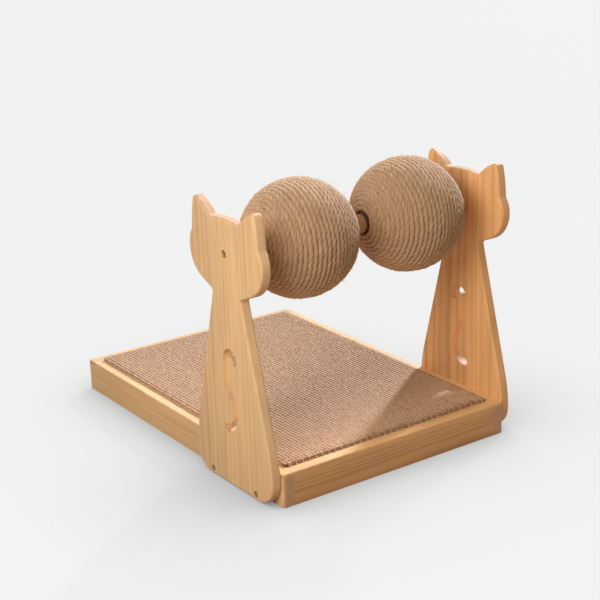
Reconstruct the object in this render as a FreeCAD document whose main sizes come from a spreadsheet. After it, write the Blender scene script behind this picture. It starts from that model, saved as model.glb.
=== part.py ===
import FreeCAD, Part
import math
import os
import re
import Sketcher
from FreeCAD import Placement, Rotation, Vector

# A scratching board for cats: a pine tray holds a woven mat, and two rope balls spin on an axle
# between two cat-shaped side panels at the front end of the tray.
# X runs along the axle, Y from the front of the tray to its back, Z up.
# The origin is on the floor under the middle of the tray. Sizes are in millimetres and degrees.

SIZES = {
    # Tray of four rails with lapped corners
    "tray_width": 300,
    "tray_depth": 420,
    "tray_height": 37,
    "rail_thickness": 13,
    "rail_edge_radius": 1.5,
    "tray_corner_radius": 3.5,
    "tongue_height": 33,
    "glue_gap": 0.2,
    # Deck in the rails' grooves, and the mat on it
    "deck_thickness": 5,
    "groove_depth": 5,
    "groove_play": 0.2,
    "mat_thickness": 9.5,
    "mat_proud": 4,
    "mat_side_gap": 0.5,
    "mat_edge_radius": 1.2,
    "mat_corner_radius": 6,
    # Cat-shaped side panels, as half widths and as heights above the floor or the axle
    "panel_thickness": 12,
    "panel_lift": 1,
    "panel_edge_radius": 2.5,
    "foot_half_width": 70,
    "foot_corner_radius": 24,
    "flank_radius": 150,
    "flank_lean": 15,
    "chin_slope": 22,
    "jowl_radius": 34,
    "cheek_half_width": 66.5,
    "cheek_drop": 3,
    "notch_half_width": 60.3,
    "notch_rise": 14.5,
    "ear_half_width": 54,
    "ear_rise": 52.5,
    "ear_outer_radius": 160,
    "ear_inner_radius": 70,
    "valley_half_width": 26,
    "valley_rise": 34.5,
    "crown_height": 2,
    "chin_fillet": 4,
    "notch_fillet": 3,
    "ear_tip_radius": 5,
    "valley_fillet": 5,
    # Tail-shaped slot through each panel, along its middle line
    "slot_width": 8,
    "tail_front": 6.5,
    "tail_hook_height": 142,
    "tail_hook_radius": 8.5,
    "tail_straight": 15,
    "tail_upper_radius": 40,
    "tail_lower_radius": 34,
    "tail_turn": 37,
    "tail_end_radius": 17,
    # Axle and what it carries
    "axle_setback": 73,
    "axle_height": 254,
    "axle_diameter": 12,
    "axle_chamfer": 0.8,
    "socket_depth": 4,
    "socket_clearance": 0.1,
    "axle_end_play": 0.2,
    "spacer_diameter": 20,
    "spacer_clearance": 0.1,
    "running_clearance": 0.08,
    "side_play": 0.3,
    # Balls: hollow moulded cores with hubs, wound with rope
    "ball_end_gap": 16,
    "ball_middle_gap": 16,
    "core_wall": 2.5,
    "hub_diameter": 20,
    "hub_inset": 1.5,
    "lap_length": 3,
    "lap_clearance": 0.05,
    "rope_diameter": 5.6,
    "rope_turn_gap": 0.9,
    "rope_pole_radius": 16,
    "rope_seat_gap": 0.3,
    "rope_hole_clearance": 1.1,
    # Screws
    "screw_diameter": 3.5,
    "screw_clearance": 0.05,
    "screw_point_length": 3,
    "screw_tip_diameter": 0.8,
    "pilot_spare": 1,
    "foot_screw_spread": 81,
    "foot_screw_height": 7.5,
    "foot_screw_length": 22,
    "foot_screw_head": 7,
    "axle_screw_length": 34,
    "axle_screw_head": 7.5,
    "axle_screw_head_height": 2.4,
    "axle_screw_sink": 3.5,
    "axle_screw_bore": 8.5,
}

doc = FreeCAD.newDocument("scratching_board")
sheet = doc.addObject("Spreadsheet::Sheet", "Sizes")
for row, (alias, number) in enumerate(SIZES.items(), start=1):
    sheet.set(f"A{row}", alias)
    sheet.set(f"B{row}", str(number))
    sheet.setAlias(f"B{row}", alias)
doc.recompute()


def formula(text):
    """The text with every size name pointed at its cell."""
    return re.sub(r"[a-z]+(?:_[a-z]+)+", lambda name: "Sizes." + name.group(0), text)


def value(text):
    """What a formula gives with the sheet's present numbers."""
    return float(sheet.evalExpression(formula(text)))


def bind(thing, **formulas):
    """Tie properties to formulas; two underscores stand for a dot."""
    for path, text in formulas.items():
        thing.setExpression(path.replace("__", "."), formula(text))


def place(thing, x="0", y="0", z="0", turn=None):
    """Set where a piece stands, with an optional turn given as (axis, degrees)."""
    if turn:
        thing.Placement = Placement(Vector(), Rotation(*turn))
    bind(thing, Placement__Base__x=x, Placement__Base__y=y, Placement__Base__z=z)


# Formulas that several pieces share
AXLE_Y = "axle_setback - tray_depth / 2"
OPENING_WIDTH = "(tray_width - 2 * rail_thickness)"
OPENING_DEPTH = "(tray_depth - 2 * rail_thickness)"
DECK_TOP = "(tray_height + mat_proud - mat_thickness)"
GROOVE_BOTTOM = f"({DECK_TOP} - deck_thickness - groove_play / 2)"
GROOVE_TOP = f"({DECK_TOP} + groove_play / 2)"
PILOT_RADIUS = "(screw_diameter / 2 + screw_clearance)"
BALL_DIAMETER = "((tray_width - 2 * ball_end_gap - ball_middle_gap) / 2)"
BALL_X = f"(({BALL_DIAMETER} + ball_middle_gap) / 2)"
HUB_LENGTH = f"({BALL_DIAMETER} - 2 * hub_inset)"


def new_body(name):
    body = doc.addObject("PartDesign::Body", name)
    body.Label = name
    return body


def new_sketch(body, name, role, offset=None):
    """A sketch on one of the body's own origin planes, or held off it by a formula."""
    plane = next(feature for feature in body.Origin.OriginFeatures if feature.Role == role)
    sketch = body.newObject("Sketcher::SketchObject", name)
    sketch.AttachmentSupport = [(plane, "")]
    sketch.MapMode = "FlatFace"
    if offset:
        bind(sketch, AttachmentOffset__Base__z=offset)
    return sketch


def tie(sketch, kind, text, *where):
    """Add a dimension to the sketch and bind it to a formula."""
    index = sketch.addConstraint(Sketcher.Constraint(kind, *where, value(text)))
    sketch.setExpression(f"Constraints[{index}]", formula(text))


def arc_between(start, end, turn, radius):
    """The shorter arc from start to end that turns left or right."""
    if turn.startswith("right"):
        start, end = end, start
    chord = end - start
    rise = math.sqrt(max(radius**2 - chord.Length**2 / 4, 0))
    middle = (start + end) / 2
    centre = middle + Vector(-chord.y, chord.x, 0).normalize() * rise
    first = math.atan2(start.y - centre.y, start.x - centre.x)
    last = math.atan2(end.y - centre.y, end.x - centre.x)
    return Part.ArcOfCircle(Part.Circle(centre, Vector(0, 0, 1), radius), first, last)


def draw_loop(sketch, corners):
    """Draw a closed loop. Each corner is (x, y), and a third entry makes the side after it an arc:
    ("left", radius) or ("right", radius), with the word half added for a half circle."""
    points = [Vector(value(corner[0]), value(corner[1]), 0) for corner in corners]
    ends = []
    first_side = sketch.GeometryCount
    for index, corner in enumerate(corners):
        start = points[index]
        end = points[(index + 1) % len(points)]
        side = corner[2] if len(corner) > 2 else None
        if side is None:
            sketch.addGeometry(Part.LineSegment(start, end), False)
        else:
            sketch.addGeometry(arc_between(start, end, side[0], value(side[1])), False)
        backwards = side is not None and side[0].startswith("right")
        ends.append((2, 1) if backwards else (1, 2))
    for index, corner in enumerate(corners):
        here = first_side + index
        after = (index + 1) % len(corners)
        joint = (here, ends[index][1], first_side + after, ends[after][0])
        sketch.addConstraint(Sketcher.Constraint("Coincident", *joint))
        tie(sketch, "DistanceX", corner[0], -1, 1, here, ends[index][0])
        tie(sketch, "DistanceY", corner[1], -1, 1, here, ends[index][0])
        if len(corner) < 3:
            continue
        chord = points[after] - points[index]
        if "half" not in corner[2][0]:
            tie(sketch, "Radius", corner[2][1], here)
        elif abs(chord.y) < abs(chord.x):
            tie(sketch, "DistanceY", corner[1], -1, 1, here, 3)
        else:
            tie(sketch, "DistanceX", corner[0], -1, 1, here, 3)


def add_circle(sketch, x, y, radius):
    centre = Vector(value(x), value(y), 0)
    index = sketch.addGeometry(Part.Circle(centre, Vector(0, 0, 1), value(radius)), False)
    tie(sketch, "DistanceX", x, -1, 1, index, 3)
    tie(sketch, "DistanceY", y, -1, 1, index, 3)
    tie(sketch, "Radius", radius, index)


def rectangle(x_low, x_high, y_low, y_high):
    return [(x_low, y_low), (x_high, y_low), (x_high, y_high), (x_low, y_high)]


def add_pad(body, sketch, length, midplane=False):
    pad = body.newObject("PartDesign::Pad", sketch.Name + "_pad")
    pad.Profile = sketch
    pad.Midplane = midplane
    bind(pad, Length=length)
    doc.recompute()
    return pad


def add_pocket(body, sketch, length=None, reverse=False):
    """Cut the sketch's loops to a depth, or right through, and make sure it cut."""
    before = body.Shape.Volume
    pocket = body.newObject("PartDesign::Pocket", sketch.Name + "_cut")
    pocket.Profile = sketch
    pocket.Reversed = reverse
    if length is None:
        pocket.Type = "ThroughAll"
    else:
        bind(pocket, Length=length)
    doc.recompute()
    if body.Shape.Volume > before - 1:
        raise RuntimeError(f"{pocket.Name} cut nothing")
    return pocket


def add_fillet(body, name, radius, chosen):
    """Round the edges of the body's tip that the test picks."""
    base = body.Tip
    edges = [f"Edge{n}" for n, edge in enumerate(base.Shape.Edges, start=1) if chosen(edge)]
    if not edges:
        raise RuntimeError(f"{name} found no edge")
    fillet = body.newObject("PartDesign::Fillet", name)
    fillet.Base = (base, edges)
    bind(fillet, Radius=radius)
    doc.recompute()
    return fillet


def turned(name, corners):
    """A piece turned about its own X axis from half its section, drawn as (x, radius)."""
    body = new_body(name)
    sketch = new_sketch(body, name + "_section", "XY_Plane")
    draw_loop(sketch, corners)
    solid = body.newObject("PartDesign::Revolution", name + "_turned")
    solid.Profile = sketch
    solid.ReferenceAxis = (sketch, ["H_Axis"])
    doc.recompute()
    return body


def near(a, b):
    return abs(a - b) < 1e-4


def upright(edge):
    low, high = sorted(v.Z for v in edge.Vertexes)
    return not near(low, high)


# Tray rails. A side rail has a tongue at each end, and a finger of the front or back rail covers it.
# A stopped groove on the inside takes the deck.
def side_rail(name, side):
    body = new_body(name)
    profile = new_sketch(body, name + "_face", "YZ_Plane")
    end = "tray_depth / 2"
    shoulder = f"({OPENING_DEPTH} / 2 - glue_gap)"
    right_half = [
        (end, "0"),
        (end, "tongue_height"),
        (shoulder, "tongue_height"),
        (shoulder, "tray_height"),
    ]
    left_half = [(f"-{x}", z) for x, z in reversed(right_half)]
    draw_loop(profile, right_half + left_half)
    add_pad(body, profile, "rail_thickness")
    groove = new_sketch(body, name + "_groove", "YZ_Plane")
    reach = f"({OPENING_DEPTH} / 2 + groove_depth)"
    draw_loop(groove, rectangle(f"-{reach}", reach, GROOVE_BOTTOM, GROOVE_TOP))
    add_pocket(body, groove, "groove_depth", reverse=True)
    pilots = new_sketch(body, name + "_pilots", "YZ_Plane", "rail_thickness")
    for step in (-1, 1):
        y = f"{side} * ({AXLE_Y} + {step} * foot_screw_spread / 2)"
        add_circle(pilots, y, "foot_screw_height", PILOT_RADIUS)
    add_pocket(body, pilots, "foot_screw_length - panel_thickness + pilot_spare")
    top = value("tray_height")
    outer = value("rail_thickness")
    tip = value(end)
    add_fillet(
        body,
        name + "_corner",
        "tray_corner_radius",
        lambda edge: all(near(v.X, outer) and near(abs(v.Y), tip) for v in edge.Vertexes)
        and upright(edge),
    )
    add_fillet(
        body,
        name + "_edge",
        "rail_edge_radius",
        lambda edge: all(near(v.Z, top) and near(v.X, outer) for v in edge.Vertexes),
    )
    inside = f"{OPENING_WIDTH} / 2"
    if side > 0:
        place(body, x=inside)
    else:
        place(body, x=f"-{inside}", turn=(Vector(0, 0, 1), 180))


def end_rail(name, side):
    body = new_body(name)
    profile = new_sketch(body, name + "_face", "XZ_Plane")
    half = "tray_width / 2"
    finger = f"({OPENING_WIDTH} / 2)"
    high = "(tongue_height + glue_gap)"
    right_half = [
        (finger, "0"),
        (finger, high),
        (half, high),
        (half, "tray_height"),
    ]
    left_half = [(f"-{x}", z) for x, z in reversed(right_half)]
    draw_loop(profile, right_half + left_half)
    add_pad(body, profile, "rail_thickness")
    groove = new_sketch(body, name + "_groove", "XZ_Plane")
    reach = f"({OPENING_WIDTH} / 2 + groove_depth)"
    draw_loop(groove, rectangle(f"-{reach}", reach, GROOVE_BOTTOM, GROOVE_TOP))
    add_pocket(body, groove, "groove_depth", reverse=True)
    top = value("tray_height")
    outer = -value("rail_thickness")
    tip = value(half)
    add_fillet(
        body,
        name + "_corner",
        "tray_corner_radius",
        lambda edge: all(near(v.Y, outer) and near(abs(v.X), tip) for v in edge.Vertexes)
        and upright(edge),
    )
    # The whole rim of the top but its inner side
    add_fillet(
        body,
        name + "_edge",
        "rail_edge_radius",
        lambda edge: all(near(v.Z, top) for v in edge.Vertexes)
        and not all(near(v.Y, 0) for v in edge.Vertexes),
    )
    inside = f"{OPENING_DEPTH} / 2"
    if side < 0:
        place(body, y=f"-{inside}")
    else:
        place(body, y=inside, turn=(Vector(0, 0, 1), 180))


# Deck and mat
def deck():
    box = doc.addObject("Part::Box", "deck_board")
    box.Label = "deck_board"
    width = f"({OPENING_WIDTH} + 2 * groove_depth - 2 * groove_play)"
    depth = f"({OPENING_DEPTH} + 2 * groove_depth - 2 * groove_play)"
    bind(box, Length=width, Width=depth, Height="deck_thickness")
    place(box, x=f"-{width} / 2", y=f"-{depth} / 2", z=f"{DECK_TOP} - deck_thickness")


def mat():
    body = new_body("scratch_mat")
    outline = new_sketch(body, "mat_outline", "XY_Plane")
    across = f"({OPENING_WIDTH} / 2 - mat_side_gap)"
    along = f"({OPENING_DEPTH} / 2 - mat_side_gap)"
    draw_loop(outline, rectangle(f"-{across}", across, f"-{along}", along))
    add_pad(body, outline, "mat_thickness")
    add_fillet(body, "mat_corner", "mat_corner_radius", upright)
    top = value("mat_thickness")
    add_fillet(
        body, "mat_edge", "mat_edge_radius", lambda edge: all(near(v.Z, top) for v in edge.Vertexes)
    )
    place(body, z=DECK_TOP)


# Side panels. Half of the outline is drawn from the foot up to the crown, and mirrored for the rest.
# Each arc meets the next line or arc in line with it, but for the four corners that are rounded later.
FLANK_WIDTH = "(foot_half_width - flank_radius * (1 - cos(flank_lean)))"
FLANK_HEIGHT = "(panel_lift + foot_corner_radius + flank_radius * sin(flank_lean))"
CHEEK_HEIGHT = "(axle_height - cheek_drop)"
JOWL_WIDTH = "(cheek_half_width - jowl_radius * (1 - sin(chin_slope)))"
JOWL_HEIGHT = f"({CHEEK_HEIGHT} - jowl_radius * cos(chin_slope))"
CHIN_FALL = f"({JOWL_HEIGHT} - {JOWL_WIDTH} * tan(chin_slope) - {FLANK_HEIGHT})"
NECK_WIDTH = f"(({FLANK_WIDTH} - {CHIN_FALL} * tan(flank_lean)) / (1 + tan(chin_slope) * tan(flank_lean)))"
CHIN_HEIGHT = f"({JOWL_HEIGHT} - ({JOWL_WIDTH} - {NECK_WIDTH}) * tan(chin_slope))"
CHEEK_RISE = "(notch_rise + cheek_drop)"
CHEEK_STEP = "(cheek_half_width - notch_half_width)"
CHEEK_RADIUS = f"(({CHEEK_RISE}^2 + {CHEEK_STEP}^2) / (2 * {CHEEK_STEP}))"
NOTCH_HEIGHT = "(axle_height + notch_rise)"
EAR_HEIGHT = "(axle_height + ear_rise)"
VALLEY_HEIGHT = "(axle_height + valley_rise)"
CROWN_RADIUS = "((valley_half_width^2 + crown_height^2) / (2 * crown_height))"

PANEL_HALF = [
    ("(foot_half_width - foot_corner_radius)", "panel_lift", ("left", "foot_corner_radius")),
    ("foot_half_width", "(panel_lift + foot_corner_radius)", ("left", "flank_radius")),
    (FLANK_WIDTH, FLANK_HEIGHT, None),
    (NECK_WIDTH, CHIN_HEIGHT, None),
    (JOWL_WIDTH, JOWL_HEIGHT, ("left", "jowl_radius")),
    ("cheek_half_width", CHEEK_HEIGHT, ("left", CHEEK_RADIUS)),
    ("notch_half_width", NOTCH_HEIGHT, ("left", "ear_outer_radius")),
    ("ear_half_width", EAR_HEIGHT, ("left", "ear_inner_radius")),
    ("valley_half_width", VALLEY_HEIGHT, ("left", CROWN_RADIUS)),
]

PANEL_ROUNDED = {
    "chin": (NECK_WIDTH, CHIN_HEIGHT, "chin_fillet"),
    "notch": ("notch_half_width", NOTCH_HEIGHT, "notch_fillet"),
    "ear": ("ear_half_width", EAR_HEIGHT, "ear_tip_radius"),
    "valley": ("valley_half_width", VALLEY_HEIGHT, "valley_fillet"),
}


def panel_corners():
    """The whole outline, anticlockwise: the right half up, then the left half down."""
    sides = [None] + [corner[2] for corner in PANEL_HALF]
    corners = list(PANEL_HALF)
    for (width, height, _), side in zip(reversed(PANEL_HALF), reversed(sides[:-1])):
        corners.append((f"-{width}", height, side))
    return [corner if corner[2] else corner[:2] for corner in corners]


def tail_corners():
    """The slot's outline round its middle line: a hook, a straight, two bows and an end hook."""
    w = "slot_width / 2"
    front = "-tail_front"
    hook_back = f"({front} + 2 * tail_hook_radius)"
    bow_height = "(tail_hook_height - tail_straight)"
    bow_centre = f"({front} + tail_upper_radius)"
    bows = "(tail_upper_radius + tail_lower_radius)"
    back = f"({front} + {bows} * (1 - cos(tail_turn)))"
    end_height = f"({bow_height} - {bows} * sin(tail_turn))"
    end_middle = f"({back} - tail_end_radius)"
    end_low = f"({end_height} - tail_end_radius)"

    def bend(radius):
        """Where the bows meet, at this radius from the upper bow's centre."""
        across = f"{bow_centre} - ({radius}) * cos(tail_turn)"
        up = f"{bow_height} - ({radius}) * sin(tail_turn)"
        return across, up

    return [
        (f"{hook_back} - {w}", "tail_hook_height", ("left half", f"tail_hook_radius - {w}")),
        (f"{front} + {w}", "tail_hook_height"),
        (f"{front} + {w}", bow_height, ("left", f"tail_upper_radius - {w}")),
        (*bend(f"tail_upper_radius - {w}"), ("right", f"tail_lower_radius + {w}")),
        (f"{back} + {w}", end_height, ("right", f"tail_end_radius + {w}")),
        (end_middle, f"{end_low} - {w}", ("right half", w)),
        (end_middle, f"{end_low} + {w}", ("left", f"tail_end_radius - {w}")),
        (f"{back} - {w}", end_height, ("left", f"tail_lower_radius - {w}")),
        (*bend(f"tail_upper_radius + {w}"), ("right", f"tail_upper_radius + {w}")),
        (f"{front} - {w}", bow_height),
        (f"{front} - {w}", "tail_hook_height", ("right half", f"tail_hook_radius + {w}")),
        (f"{hook_back} + {w}", "tail_hook_height", ("right half", w)),
    ]


def add_countersinks(body, name, radius):
    """Cut a cone at each foot screw, down to its shank, from the outer face."""
    for end, step in (("front", -1), ("back", 1)):
        cone = new_sketch(body, f"{name}_sink_{end}", "XY_Plane", "foot_screw_height")
        y = f"{step} * foot_screw_spread / 2"
        face = "panel_thickness"
        tip = f"({face} - {radius})"
        draw_loop(cone, [(tip, y), (face, y), (face, f"{y} + {radius}")])
        groove = body.newObject("PartDesign::Groove", cone.Name + "_cut")
        groove.Profile = cone
        groove.ReferenceAxis = (cone, ["Edge1"])
        doc.recompute()


def side_panel(name, side):
    body = new_body(name)
    outline = new_sketch(body, name + "_outline", "YZ_Plane")
    draw_loop(outline, panel_corners())
    add_pad(body, outline, "panel_thickness")
    for corner, (width, height, radius) in PANEL_ROUNDED.items():
        y = value(width)
        z = value(height)
        add_fillet(
            body,
            f"{name}_{corner}",
            radius,
            lambda edge: any(
                all(near(v.Y, half * y) and near(v.Z, z) for v in edge.Vertexes) for half in (-1, 1)
            ),
        )
    thick = value("panel_thickness")
    add_fillet(
        body,
        name + "_edges",
        "panel_edge_radius",
        lambda edge: all(near(v.X, 0) for v in edge.Vertexes)
        or all(near(v.X, thick) for v in edge.Vertexes),
    )
    tail = new_sketch(body, name + "_tail", "YZ_Plane")
    draw_loop(tail, tail_corners())
    add_pocket(body, tail, reverse=True)
    holes = new_sketch(body, name + "_holes", "YZ_Plane")
    for step in (-1, 1):
        add_circle(holes, f"{step} * foot_screw_spread / 2", "foot_screw_height", PILOT_RADIUS)
    add_circle(holes, "0", "axle_height", PILOT_RADIUS)
    add_pocket(body, holes, reverse=True)
    add_countersinks(body, name, "(foot_screw_head / 2 + screw_clearance)")
    socket = new_sketch(body, name + "_socket", "YZ_Plane")
    add_circle(socket, "0", "axle_height", "axle_diameter / 2 + socket_clearance")
    add_pocket(body, socket, "socket_depth", reverse=True)
    recess = new_sketch(body, name + "_recess", "YZ_Plane", "panel_thickness")
    add_circle(recess, "0", "axle_height", "axle_screw_bore / 2")
    add_pocket(body, recess, "axle_screw_sink")
    if side > 0:
        place(body, x="tray_width / 2", y=AXLE_Y)
    else:
        place(body, x="-tray_width / 2", y=AXLE_Y, turn=(Vector(0, 0, 1), 180))


# Axle, and the sleeves that space the balls along it
AXLE_HALF = "(tray_width / 2 + socket_depth - axle_end_play)"
SCREW_IN_AXLE = "(axle_screw_length - panel_thickness + axle_screw_sink + socket_depth)"
PILOT_END = f"({AXLE_HALF} - {SCREW_IN_AXLE} - pilot_spare)"
HUB_NEAR = f"({BALL_X} - {HUB_LENGTH} / 2)"
HUB_FAR = f"({BALL_X} + {HUB_LENGTH} / 2)"


def axle():
    radius = "axle_diameter / 2"
    right_half = [
        (PILOT_END, "0"),
        (PILOT_END, PILOT_RADIUS),
        (AXLE_HALF, PILOT_RADIUS),
        (AXLE_HALF, f"{radius} - axle_chamfer"),
        (f"({AXLE_HALF} - axle_chamfer)", radius),
    ]
    left_half = [(f"-{x}", r) for x, r in reversed(right_half)]
    place(turned("axle_dowel", right_half + left_half), y=AXLE_Y, z="axle_height")


def spacer(name, start, end):
    bore = "axle_diameter / 2 + spacer_clearance"
    body = turned(name, rectangle(start, end, bore, "spacer_diameter / 2"))
    place(body, y=AXLE_Y, z="axle_height")


# Balls. Each core is two moulded halves that lap at the middle, with hubs that meet there.
CORE_RADIUS = f"({BALL_DIAMETER} / 2 - rope_diameter - rope_seat_gap)"
CORE_INSIDE = f"({CORE_RADIUS} - core_wall)"
LAP_RADIUS = f"({CORE_RADIUS} - core_wall / 2)"


def core_section(has_lip):
    """Half the section of one core half, from the middle of the ball out to the hub's end."""
    bore = "axle_diameter / 2 + running_clearance"
    hub = "hub_diameter / 2"
    shell_out = f"sqrt({CORE_RADIUS}^2 - ({hub})^2)"
    shell_in = f"sqrt({CORE_INSIDE}^2 - ({hub})^2)"
    if has_lip:
        lap = [
            ("0", f"{LAP_RADIUS} - lap_clearance"),
            ("-lap_length", f"{LAP_RADIUS} - lap_clearance"),
            ("-lap_length", CORE_INSIDE),
            ("0", CORE_INSIDE, ("right", CORE_INSIDE)),
        ]
    else:
        step = "(lap_length + 2 * lap_clearance)"
        inside = f"sqrt({CORE_INSIDE}^2 - {step}^2)"
        lap = [
            ("0", f"{LAP_RADIUS} + lap_clearance"),
            (step, f"{LAP_RADIUS} + lap_clearance"),
            (step, inside, ("right", CORE_INSIDE)),
        ]
    hub_end = f"{HUB_LENGTH} / 2"
    return [
        ("0", bore),
        (hub_end, bore),
        (hub_end, hub),
        (shell_out, hub, ("left", CORE_RADIUS)),
        ("0", CORE_RADIUS),
        *lap,
        (shell_in, hub),
        ("0", hub),
    ]


# The rope runs in one spiral from pole to pole. At each end it bends down through a hole in the core.
def rope_facts():
    """The rope's middle radius on the ball, its first angle from the pole and its number of turns."""
    middle = value(f"{BALL_DIAMETER} / 2 - rope_diameter / 2")
    pole = math.asin(value("rope_pole_radius") / middle)
    halves = int(2 * middle * (math.pi - 2 * pole) / value("rope_diameter + rope_turn_gap"))
    return middle, pole, halves / 2


def rope_point(turn):
    """Place and direction on the spiral after this many turns from the +X pole."""
    middle, pole, turns = rope_facts()
    rate = (math.pi - 2 * pole) / (2 * math.pi * turns)
    around = 2 * math.pi * turn
    polar = pole + rate * around
    ring = Vector(0, math.cos(around), math.sin(around))
    forward = Vector(0, -math.sin(around), math.cos(around))
    out = Vector(math.cos(polar), 0, 0) + ring * math.sin(polar)
    along = Vector(-math.sin(polar), 0, 0) + ring * math.cos(polar)
    return out * middle, (along * rate + forward * math.sin(polar)).normalize()


def rope_dive(point, direction):
    """The bend from the surface to the ball's centre line: its end, its mid point and its heading."""
    bend = value("rope_diameter")
    out = Vector(point).normalize()
    centre = point - out * bend
    full = math.acos(-bend / (point.Length - bend))

    def on_bend(angle):
        return centre + direction * bend * math.sin(angle) + out * bend * math.cos(angle)

    return on_bend(full), on_bend(full / 2), (on_bend(full) * -1).normalize()


def arc_from(start, heading, end):
    """The arc that leaves start along heading and reaches end, with its heading there."""
    chord = end - start
    away = Vector(chord).normalize()
    sideways = (away * (heading * away) * -1 + heading).normalize()
    sine = heading * sideways
    bulge = chord.Length / 2 * math.tan(math.asin(sine) / 2)
    edge = Part.Arc(start, (start + end) / 2 + sideways * bulge, end).toShape()
    return edge, away * (2 * (heading * away)) - heading


def biarc(start, heading, end, last_heading):
    """Two arcs in line with each other from start to end."""
    chord = end - start
    both = heading + last_heading
    spread = 2 * (1 - heading * last_heading)
    reach = (math.sqrt((chord * both) ** 2 + spread * chord.Length**2) - chord * both) / spread
    middle = (start + heading * reach + end - last_heading * reach) / 2
    first, meeting = arc_from(start, heading, middle)
    second, _ = arc_from(middle, meeting, end)
    return [first, second]


ROPE_SIDES = 8
HALF_TURN = 0.5
GAP_SAMPLES_PER_ARC = 24


def rope_path():
    """The rope's middle line as edges: a straight end, a bend, half turns as pairs of arcs, and out the same
    way. With it, where the rope passes into the core at its start and at its end."""
    lead = value("rope_diameter")
    halves = round(rope_facts()[2] / HALF_TURN)
    stations = [rope_point(step * HALF_TURN) for step in range(halves + 1)]
    first, heading = stations[0]
    last, last_heading = stations[-1]
    start, start_mid, inward = rope_dive(first, heading * -1)
    end, end_mid, end_inward = rope_dive(last, last_heading)
    edges = [Part.makeLine(start + inward * lead, start), Part.Arc(start, start_mid, first).toShape()]
    for here, after in zip(stations, stations[1:]):
        edges += biarc(*here, *after)
    edges.append(Part.Arc(last, end_mid, end).toShape())
    edges.append(Part.makeLine(end, end + end_inward * lead))
    return edges, start, end


def rope_self_gap(edges):
    """Least gap between one stretch of the rope and another, measured on points of its middle line."""
    samples = []
    travelled = 0
    for edge in edges:
        for point in edge.discretize(GAP_SAMPLES_PER_ARC)[:-1]:
            if samples:
                travelled += (point - samples[-1][1]).Length
            samples.append((travelled, point))
    rope = value("rope_diameter")
    apart = 3 * rope
    cells = {}
    for travel, point in samples:
        key = tuple(int(math.floor(c / apart)) for c in point)
        cells.setdefault(key, []).append((travel, point))
    steps = [(i, j, k) for i in (-1, 0, 1) for j in (-1, 0, 1) for k in (-1, 0, 1)]
    least = apart
    for (i, j, k), group in cells.items():
        close = [other for a, b, c in steps for other in cells.get((i + a, j + b, k + c), ())]
        for travel, point in group:
            for other_travel, other in close:
                if other_travel - travel > 2 * apart:
                    least = min(least, (other - point).Length)
    return least - rope


def rope_solid(edges):
    """One unbroken tube along the path, with a flat-sided round section."""
    start = edges[0].Vertexes[0].Point
    heading = edges[0].tangentAt(edges[0].FirstParameter)
    across = heading.cross(Vector(1, 0, 0)).normalize()
    up = heading.cross(across)
    radius = value("rope_diameter / 2")
    ring = []
    for side in range(ROPE_SIDES + 1):
        angle = 2 * math.pi * side / ROPE_SIDES
        ring.append(start + across * radius * math.cos(angle) + up * radius * math.sin(angle))
    tube = Part.Wire(edges).makePipeShell([Part.makePolygon(ring)], True, False)
    section = ROPE_SIDES / 2 * radius**2 * math.sin(2 * math.pi / ROPE_SIDES)
    length = sum(edge.Length for edge in edges)
    fill = tube.Volume / (section * length)
    turns = rope_facts()[2]
    print(f"rope: {turns} turns, {length / 1000:.2f} m, volume {fill:.4f} of section times length")
    return tube


def ball(name, side):
    """A ball at one end of the axle: two core halves with a rope hole each, and the rope."""
    middle = Vector(side * value(BALL_X), value(AXLE_Y), value("axle_height"))
    for end, hole_at in ((1, ROPE_START), (-1, ROPE_END)):
        outer = end == side
        node = f"{name}_outer_half" if outer else f"{name}_inner_half"
        body = turned(node + "_moulding", core_section(has_lip=outer))
        turn = None if end > 0 else (Vector(0, 0, 1), 180)
        place(body, f"{side} * {BALL_X}", AXLE_Y, "axle_height", turn)
        hole = doc.addObject("Part::Cylinder", node + "_hole")
        bind(hole, Radius="rope_diameter / 2 + rope_hole_clearance", Height="4 * rope_diameter")
        out = Vector(hole_at).normalize()
        foot = middle + hole_at - out * value("2 * rope_diameter")
        hole.Placement = Placement(foot, Rotation(Vector(0, 0, 1), out))
        half = doc.addObject("Part::Cut", node)
        half.Label = node
        half.Base = body
        half.Tool = hole
    rope = doc.addObject("Part::Feature", name + "_rope")
    rope.Label = name + "_rope"
    rope.Shape = ROPE_SHAPE
    rope.Placement = Placement(middle, Rotation())


# Screws, drawn from the outer face of the head to the point
def screw_shank(length, start):
    return [
        (start, "screw_diameter / 2"),
        (f"{length} - screw_point_length", "screw_diameter / 2"),
        (length, "screw_tip_diameter / 2"),
        (length, "0"),
    ]


def foot_screws(name, side):
    sink = "(foot_screw_head / 2 - screw_diameter / 2)"
    section = [("0", "0"), ("0", "foot_screw_head / 2"), *screw_shank("foot_screw_length", sink)]
    pair = []
    for end, step in (("front", -1), ("back", 1)):
        body = turned(f"{name}_{end}", section)
        turn = (Vector(0, 0, 1), 180) if side > 0 else None
        y = f"{AXLE_Y} + {step} * foot_screw_spread / 2"
        place(body, f"{side} * (tray_width / 2 + panel_thickness)", y, "foot_screw_height", turn)
        pair.append(body)
    group = doc.addObject("Part::Compound", name)
    group.Label = name
    group.Links = pair


def axle_screw(name, side):
    head = "axle_screw_head / 2"
    top = "-axle_screw_head_height"
    section = [(top, "0"), (top, head), ("0", head), *screw_shank("axle_screw_length", "0")]
    body = turned(name, section)
    turn = (Vector(0, 0, 1), 180) if side > 0 else None
    seat = "(tray_width / 2 + panel_thickness - axle_screw_sink)"
    place(body, f"{side} * {seat}", AXLE_Y, "axle_height", turn)


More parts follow.
